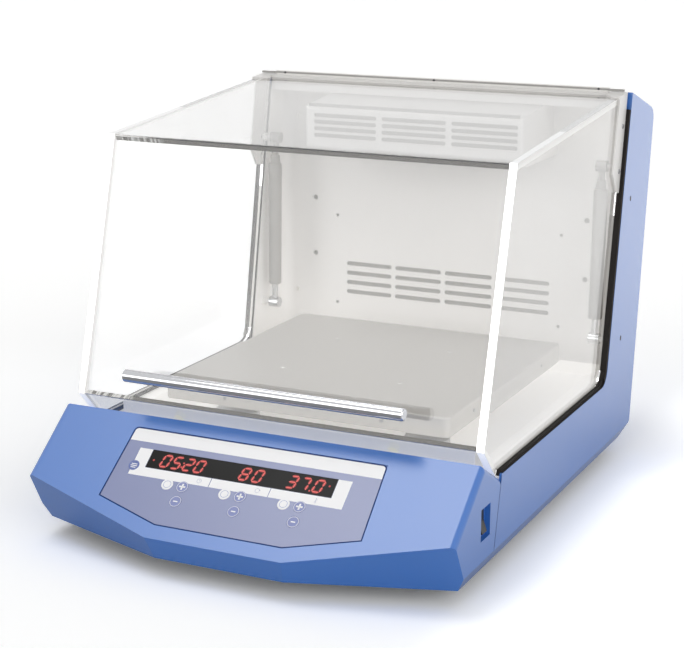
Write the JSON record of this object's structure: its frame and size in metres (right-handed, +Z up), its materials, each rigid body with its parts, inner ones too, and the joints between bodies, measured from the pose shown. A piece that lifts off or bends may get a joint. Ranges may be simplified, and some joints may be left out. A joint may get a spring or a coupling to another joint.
{
  "type": "incubated benchtop shaker",
  "caption": "Benchtop shaker with a square orbiting tray in a heated chamber, under a clear hinged hood with a bar handle; sloping control nose with display and keys in front.",
  "frame": {"origin": "on the floor, under the middle of the overall width and depth", "axes": "+X to the machine's right as seen from the front, +Y to its rear, +Z up"},
  "size_m": [0.465, 0.695, 0.433],
  "materials": {
    "blue_shell": "satin periwinkle blue",
    "nose_shell": "satin periwinkle blue moulding",
    "base_steel": "dark grey powder coat",
    "foot_rubber": "matte black",
    "seal_rubber": "matte black",
    "chamber_white": "satin white powder coat",
    "tray_metal": "fine satin, natural anodised",
    "clear_acrylic": "clear polished acrylic",
    "frame_white": "semi-gloss white",
    "bright_chrome": "polished",
    "buffer_rubber": "matte yellow-green",
    "spring_grey": "satin warm grey",
    "rod_steel": "bright ground",
    "machined_steel": "machined",
    "cast_housing": "grey cast",
    "motor_body": "ribbed die cast",
    "belt_rubber": "matte black",
    "label_foil": "printed lavender-grey foil",
    "window_black": "dark display filter",
    "key_plastic": "dark blue keys",
    "switch_black": "black moulding",
    "board_green": "circuit board",
    "socket_black": "black moulding",
    "socket_steel": "nickel plated",
    "supply_case": "pressed sheet case",
    "heater_steel": "heat tinted",
    "screw_steel": "plated",
    "rotor_plastic": "moulded dark grey"
  },
  "bodies": {
    "housing": {"base_plate": "base_steel", "rubber_feet": "foot_rubber", "control_nose": "nose_shell", "side_cover_left": "blue_shell", "side_cover_right": "blue_shell", "rear_panel": "blue_shell", "service_cover": "blue_shell", "housing_screws": "screw_steel", "mains_inlet": "socket_black", "data_sockets": "socket_steel", "chamber_back_wall": "chamber_white", "chamber_side_left": "chamber_white", "chamber_side_right": "chamber_white", "chamber_floor": "chamber_white", "top_beam": "chamber_white", "heater_cover": "chamber_white", "edge_seal_left": "seal_rubber", "edge_seal_right": "seal_rubber", "heater_element": "heater_steel", "blower_motor": "motor_body", "drive_motor": "motor_body", "bearing_housings": "cast_housing", "drive_belt": "belt_rubber", "control_board": "board_green", "power_supply": "supply_case", "display_window": "window_black", "control_label": "label_foil", "hinge_leaf": "frame_white", "hood_buffers": "buffer_rubber"},
    "hood": {"hood_front": "clear_acrylic", "hood_top": "clear_acrylic", "hood_side_left": "clear_acrylic", "hood_side_right": "clear_acrylic", "hood_lower_strip": "clear_acrylic", "hood_frame": "frame_white", "handle": "bright_chrome"},
    "crank": {"main_crank": "machined_steel", "driven_pulley": "motor_body"},
    "platform": {"platform_carrier": "tray_metal", "tray": "tray_metal"},
    "motor_pulley": {"motor_pulley": "machined_steel"},
    "blower_rotor": {"blower_rotor": "rotor_plastic"},
    "rocker_switch": {"rocker_switch": "switch_black"},
    "support_crank_1": {"support_crank_1": "machined_steel"},
    "support_crank_2": {"support_crank_2": "machined_steel"},
    "support_crank_3": {"support_crank_3": "machined_steel"},
    "gas_rod_left": {"gas_rod_left": "rod_steel"},
    "gas_tube_left": {"gas_tube_left": "spring_grey"},
    "gas_rod_right": {"gas_rod_right": "rod_steel"},
    "gas_tube_right": {"gas_tube_right": "spring_grey"},
    "key_round": {"key_round": "key_plastic"},
    "key_time_ring": {"key_time_ring": "key_plastic"},
    "key_time_plus": {"key_time_plus": "key_plastic"},
    "key_time_minus": {"key_time_minus": "key_plastic"},
    "key_speed_ring": {"key_speed_ring": "key_plastic"},
    "key_speed_plus": {"key_speed_plus": "key_plastic"},
    "key_speed_minus": {"key_speed_minus": "key_plastic"},
    "key_heat_ring": {"key_heat_ring": "key_plastic"},
    "key_heat_plus": {"key_heat_plus": "key_plastic"},
    "key_heat_minus": {"key_heat_minus": "key_plastic"}
  },
  "joints": [
    {"name": "hood_hinge", "type": "hinge", "parent": "housing", "child": "hood", "pos_m": [0, 0.1994, 0.4242], "axis": [-1, 0, 0], "range_deg": [0, 50]},
    {"name": "crank_turn", "type": "hinge", "parent": "housing", "child": "crank", "pos_m": [0, -0.0015, 0.06], "axis": [0, 0, 1], "continuous": true},
    {"name": "platform_turn", "type": "hinge", "parent": "crank", "child": "platform", "pos_m": [0, 0.0085, 0.11], "axis": [0, 0, 1], "continuous": true},
    {"name": "motor_turn", "type": "hinge", "parent": "housing", "child": "motor_pulley", "pos_m": [0, -0.1515, 0.07], "axis": [0, 0, 1], "continuous": true},
    {"name": "blower_turn", "type": "hinge", "parent": "housing", "child": "blower_rotor", "pos_m": [0, 0.183, 0.38], "axis": [0, 0, 1], "continuous": true},
    {"name": "rocker_tilt", "type": "hinge", "parent": "housing", "child": "rocker_switch", "pos_m": [0.2243, -0.2345, 0.07], "axis": [0, 1, 0], "range_deg": [0, 18]},
    {"name": "support_turn_1", "type": "hinge", "parent": "housing", "child": "support_crank_1", "pos_m": [-0.112, -0.0865, 0.06], "axis": [0, 0, 1], "continuous": true},
    {"name": "support_turn_2", "type": "hinge", "parent": "housing", "child": "support_crank_2", "pos_m": [0.112, -0.0865, 0.06], "axis": [0, 0, 1], "continuous": true},
    {"name": "support_turn_3", "type": "hinge", "parent": "housing", "child": "support_crank_3", "pos_m": [0, 0.1205, 0.06], "axis": [0, 0, 1], "continuous": true},
    {"name": "gas_rod_swing_left", "type": "hinge", "parent": "housing", "child": "gas_rod_left", "pos_m": [-0.2015, 0.1728, 0.1493], "axis": [1, 0, 0], "range_deg": [0, 12.21]},
    {"name": "gas_tube_slide_left", "type": "slide", "parent": "gas_rod_left", "child": "gas_tube_left", "axis": [0, 0.0213, 0.9998], "range_m": [0, 0.04927]},
    {"name": "gas_rod_swing_right", "type": "hinge", "parent": "housing", "child": "gas_rod_right", "pos_m": [0.2015, 0.1728, 0.1493], "axis": [1, 0, 0], "range_deg": [0, 12.21]},
    {"name": "gas_tube_slide_right", "type": "slide", "parent": "gas_rod_right", "child": "gas_tube_right", "axis": [0, 0.0213, 0.9998], "range_m": [0, 0.04927]},
    {"name": "key_round_press", "type": "slide", "parent": "housing", "child": "key_round", "axis": [0, 0.617, -0.7869], "range_m": [0, 0.0004], "stiffness_N_per_m": 800},
    {"name": "key_time_ring_press", "type": "slide", "parent": "housing", "child": "key_time_ring", "axis": [0, 0.617, -0.7869], "range_m": [0, 0.0004], "stiffness_N_per_m": 800},
    {"name": "key_time_plus_press", "type": "slide", "parent": "housing", "child": "key_time_plus", "axis": [0, 0.617, -0.7869], "range_m": [0, 0.0004], "stiffness_N_per_m": 800},
    {"name": "key_time_minus_press", "type": "slide", "parent": "housing", "child": "key_time_minus", "axis": [0, 0.617, -0.7869], "range_m": [0, 0.0004], "stiffness_N_per_m": 800},
    {"name": "key_speed_ring_press", "type": "slide", "parent": "housing", "child": "key_speed_ring", "axis": [0, 0.617, -0.7869], "range_m": [0, 0.0004], "stiffness_N_per_m": 800},
    {"name": "key_speed_plus_press", "type": "slide", "parent": "housing", "child": "key_speed_plus", "axis": [0, 0.617, -0.7869], "range_m": [0, 0.0004], "stiffness_N_per_m": 800},
    {"name": "key_speed_minus_press", "type": "slide", "parent": "housing", "child": "key_speed_minus", "axis": [0, 0.617, -0.7869], "range_m": [0, 0.0004], "stiffness_N_per_m": 800},
    {"name": "key_heat_ring_press", "type": "slide", "parent": "housing", "child": "key_heat_ring", "axis": [0, 0.617, -0.7869], "range_m": [0, 0.0004], "stiffness_N_per_m": 800},
    {"name": "key_heat_plus_press", "type": "slide", "parent": "housing", "child": "key_heat_plus", "axis": [0, 0.617, -0.7869], "range_m": [0, 0.0004], "stiffness_N_per_m": 800},
    {"name": "key_heat_minus_press", "type": "slide", "parent": "housing", "child": "key_heat_minus", "axis": [0, 0.617, -0.7869], "range_m": [0, 0.0004], "stiffness_N_per_m": 800}
  ],
  "couplings": [
    {"joint": "platform_turn", "follows": "crank_turn", "ratio": -1},
    {"joint": "motor_turn", "follows": "crank_turn", "ratio": 4},
    {"joint": "support_turn_1", "follows": "crank_turn", "ratio": 1},
    {"joint": "support_turn_2", "follows": "crank_turn", "ratio": 1},
    {"joint": "support_turn_3", "follows": "crank_turn", "ratio": 1},
    {"joint": "gas_rod_swing_left", "follows": "hood_hinge", "ratio": 0.2439},
    {"joint": "gas_tube_slide_left", "follows": "hood_hinge", "m_per_rad": 0.056431},
    {"joint": "gas_rod_swing_right", "follows": "hood_hinge", "ratio": 0.2439},
    {"joint": "gas_tube_slide_right", "follows": "hood_hinge", "m_per_rad": 0.056431}
  ]
}
